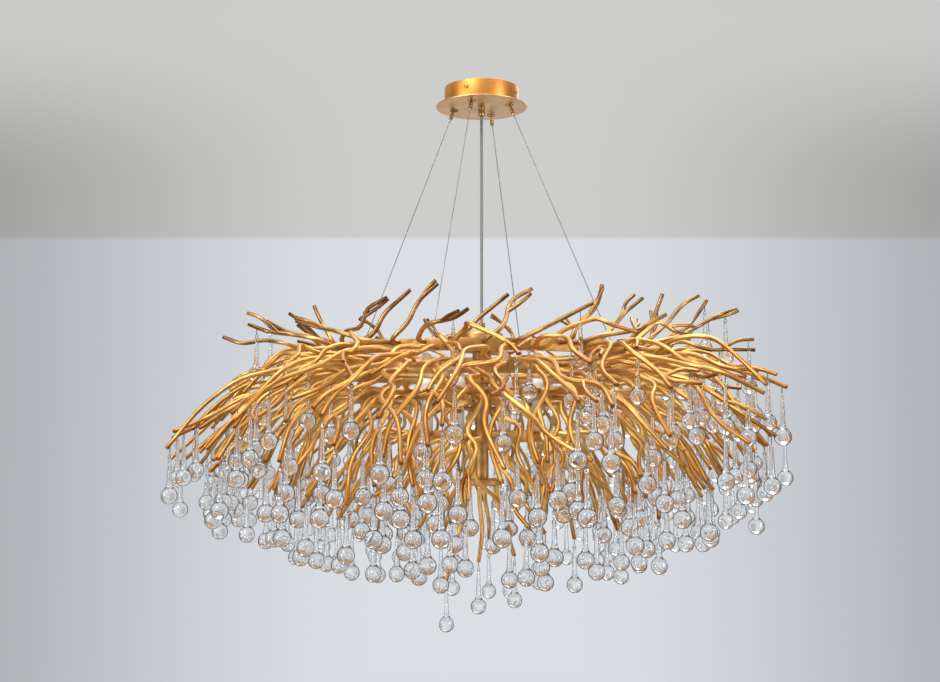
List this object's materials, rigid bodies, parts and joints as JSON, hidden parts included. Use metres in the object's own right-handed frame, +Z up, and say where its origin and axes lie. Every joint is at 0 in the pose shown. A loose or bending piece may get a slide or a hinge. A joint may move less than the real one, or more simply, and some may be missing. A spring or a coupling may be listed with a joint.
{
  "type": "crystal chandelier",
  "caption": "Ceiling chandelier: round gold canopy, slanting wires and a cord hold a wide crown of bent gold twigs hung with clear glass ball drops round lit bulbs.",
  "frame": {"origin": "centre of the bracket's bolt circle, on the ceiling plane", "axes": "+Z up into the ceiling, +X to the right of the picture, +Y away from the viewer"},
  "size_m": [0.9947, 0.998, 0.8788],
  "materials": {
    "canopy_gold": "brushed",
    "frame_gold": "satin gold",
    "twig_gold": "polished gold plate",
    "cable_steel": "drawn wire",
    "nozzle_nickel": "plated",
    "zinc": "zinc plated",
    "cord_sheath": "satin",
    "terminal_white": "matte",
    "holder_white": "glazed",
    "bulb_glass": "frosted",
    "clear_glass": "polished"
  },
  "bodies": {
    "canopy": {"ceiling_bracket": "zinc", "canopy_drum": "canopy_gold", "canopy_disc": "canopy_gold", "side_screws": "canopy_gold", "swivel_seats": "canopy_gold", "canopy_nuts": "zinc", "canopy_gland": "canopy_gold", "terminal_block": "terminal_white", "cable_1": "cable_steel", "cable_2": "cable_steel", "cable_3": "cable_steel", "cable_4": "cable_steel", "power_cord": "cord_sheath"},
    "gripper_1": {"gripper_1": "canopy_gold"},
    "gripper_nozzle_1": {"gripper_nozzle_1": "nozzle_nickel"},
    "gripper_2": {"gripper_2": "canopy_gold"},
    "gripper_nozzle_2": {"gripper_nozzle_2": "nozzle_nickel"},
    "gripper_3": {"gripper_3": "canopy_gold"},
    "gripper_nozzle_3": {"gripper_nozzle_3": "nozzle_nickel"},
    "gripper_4": {"gripper_4": "canopy_gold"},
    "gripper_nozzle_4": {"gripper_nozzle_4": "nozzle_nickel"},
    "crown": {"cable_stops": "cable_steel", "hub_gland": "canopy_gold", "hub_cup": "frame_gold", "hub_base": "frame_gold", "hub_tube": "frame_gold", "upper_wheel": "frame_gold", "middle_wheel": "frame_gold", "lower_wheel": "frame_gold", "bottom_wheel": "frame_gold", "lamp_plate": "frame_gold", "lamp_holders": "holder_white", "bulbs": "bulb_glass", "grub_screws": "zinc", "end_cap": "frame_gold", "crest_twigs": "twig_gold", "shoulder_twigs": "twig_gold", "upper_twigs": "twig_gold", "middle_twigs": "twig_gold", "skirt_twigs": "twig_gold", "lower_twigs": "twig_gold", "under_twigs": "twig_gold", "bottom_twigs": "twig_gold", "tuft_twigs": "twig_gold", "crest_drops": "clear_glass", "shoulder_drops": "clear_glass", "upper_drops": "clear_glass", "middle_drops": "clear_glass", "skirt_drops": "clear_glass", "lower_drops": "clear_glass", "under_drops": "clear_glass"},
    "swing_drop_1": {"swing_drop_1": "clear_glass"},
    "swing_drop_2": {"swing_drop_2": "clear_glass"},
    "swing_drop_3": {"swing_drop_3": "clear_glass"},
    "swing_drop_4": {"swing_drop_4": "clear_glass"},
    "swing_drop_5": {"swing_drop_5": "clear_glass"},
    "swing_drop_6": {"swing_drop_6": "clear_glass"},
    "swing_drop_7": {"swing_drop_7": "clear_glass"},
    "swing_drop_8": {"swing_drop_8": "clear_glass"}
  },
  "joints": [
    {"name": "crown_height", "type": "slide", "parent": "canopy", "child": "crown", "axis": [0, 0, 1], "range_m": [0, 0.15], "deforming": ["cable_1", "cable_2", "cable_3", "cable_4", "power_cord"]},
    {"name": "gripper_1_swivel", "type": "hinge", "parent": "canopy", "child": "gripper_1", "pos_m": [0.0451, -0.01642, -0.0306], "axis": [-0.342, -0.9397, 0], "range_deg": [0, 11.11]},
    {"name": "nozzle_1_release", "type": "slide", "parent": "gripper_1", "child": "gripper_nozzle_1", "axis": [-0.3656, 0.1331, 0.9212], "range_m": [0, 0.002], "stiffness_N_per_m": 300, "springref_m": -0.002},
    {"name": "gripper_2_swivel", "type": "hinge", "parent": "canopy", "child": "gripper_2", "pos_m": [0.01642, 0.0451, -0.0306], "axis": [0.9397, -0.342, 0], "range_deg": [0, 11.11]},
    {"name": "nozzle_2_release", "type": "slide", "parent": "gripper_2", "child": "gripper_nozzle_2", "axis": [-0.1331, -0.3656, 0.9212], "range_m": [0, 0.002], "stiffness_N_per_m": 300, "springref_m": -0.002},
    {"name": "gripper_3_swivel", "type": "hinge", "parent": "canopy", "child": "gripper_3", "pos_m": [-0.0451, 0.01642, -0.0306], "axis": [0.342, 0.9397, 0], "range_deg": [0, 11.11]},
    {"name": "nozzle_3_release", "type": "slide", "parent": "gripper_3", "child": "gripper_nozzle_3", "axis": [0.3656, -0.1331, 0.9212], "range_m": [0, 0.002], "stiffness_N_per_m": 300, "springref_m": -0.002},
    {"name": "gripper_4_swivel", "type": "hinge", "parent": "canopy", "child": "gripper_4", "pos_m": [-0.01642, -0.0451, -0.0306], "axis": [-0.9397, 0.342, 0], "range_deg": [0, 11.11]},
    {"name": "nozzle_4_release", "type": "slide", "parent": "gripper_4", "child": "gripper_nozzle_4", "axis": [0.1331, 0.3656, 0.9212], "range_m": [0, 0.002], "stiffness_N_per_m": 300, "springref_m": -0.002},
    {"name": "drop_1_swing", "type": "hinge", "parent": "crown", "child": "swing_drop_1", "pos_m": [0.4447, 0.04559, -0.63118], "axis": [-0.0384, 0.9993, 0], "range_deg": [-30, 30]},
    {"name": "drop_2_swing", "type": "hinge", "parent": "crown", "child": "swing_drop_2", "pos_m": [0.09701, 0.35795, -0.67496], "axis": [-0.9876, 0.1569, 0], "range_deg": [-30, 30]},
    {"name": "drop_3_swing", "type": "hinge", "parent": "crown", "child": "swing_drop_3", "pos_m": [-0.28106, 0.32761, -0.63077], "axis": [-0.4117, -0.9113, 0], "range_deg": [-30, 30]},
    {"name": "drop_4_swing", "type": "hinge", "parent": "crown", "child": "swing_drop_4", "pos_m": [-0.36507, 0.25886, -0.62398], "axis": [-0.4607, -0.8875, 0], "range_deg": [-30, 30]},
    {"name": "drop_5_swing", "type": "hinge", "parent": "crown", "child": "swing_drop_5", "pos_m": [-0.29675, -0.22129, -0.659], "axis": [0.9241, -0.3823, 0], "range_deg": [-30, 30]},
    {"name": "drop_6_swing", "type": "hinge", "parent": "crown", "child": "swing_drop_6", "pos_m": [-0.20649, -0.31095, -0.51262], "axis": [0.4672, -0.8842, 0], "range_deg": [-30, 30]},
    {"name": "drop_7_swing", "type": "hinge", "parent": "crown", "child": "swing_drop_7", "pos_m": [0.02035, -0.43347, -0.63771], "axis": [0.8908, 0.4544, 0], "range_deg": [-30, 30]},
    {"name": "drop_8_swing", "type": "hinge", "parent": "crown", "child": "swing_drop_8", "pos_m": [0.40047, -0.13447, -0.44099], "axis": [-0.1399, 0.9902, 0], "range_deg": [-30, 30]}
  ],
  "couplings": [
    {"joint": "gripper_1_swivel", "follows": "crown_height", "rad_per_m": 1.2751},
    {"joint": "gripper_2_swivel", "follows": "crown_height", "rad_per_m": 1.2751},
    {"joint": "gripper_3_swivel", "follows": "crown_height", "rad_per_m": 1.2751},
    {"joint": "gripper_4_swivel", "follows": "crown_height", "rad_per_m": 1.2751}
  ]
}
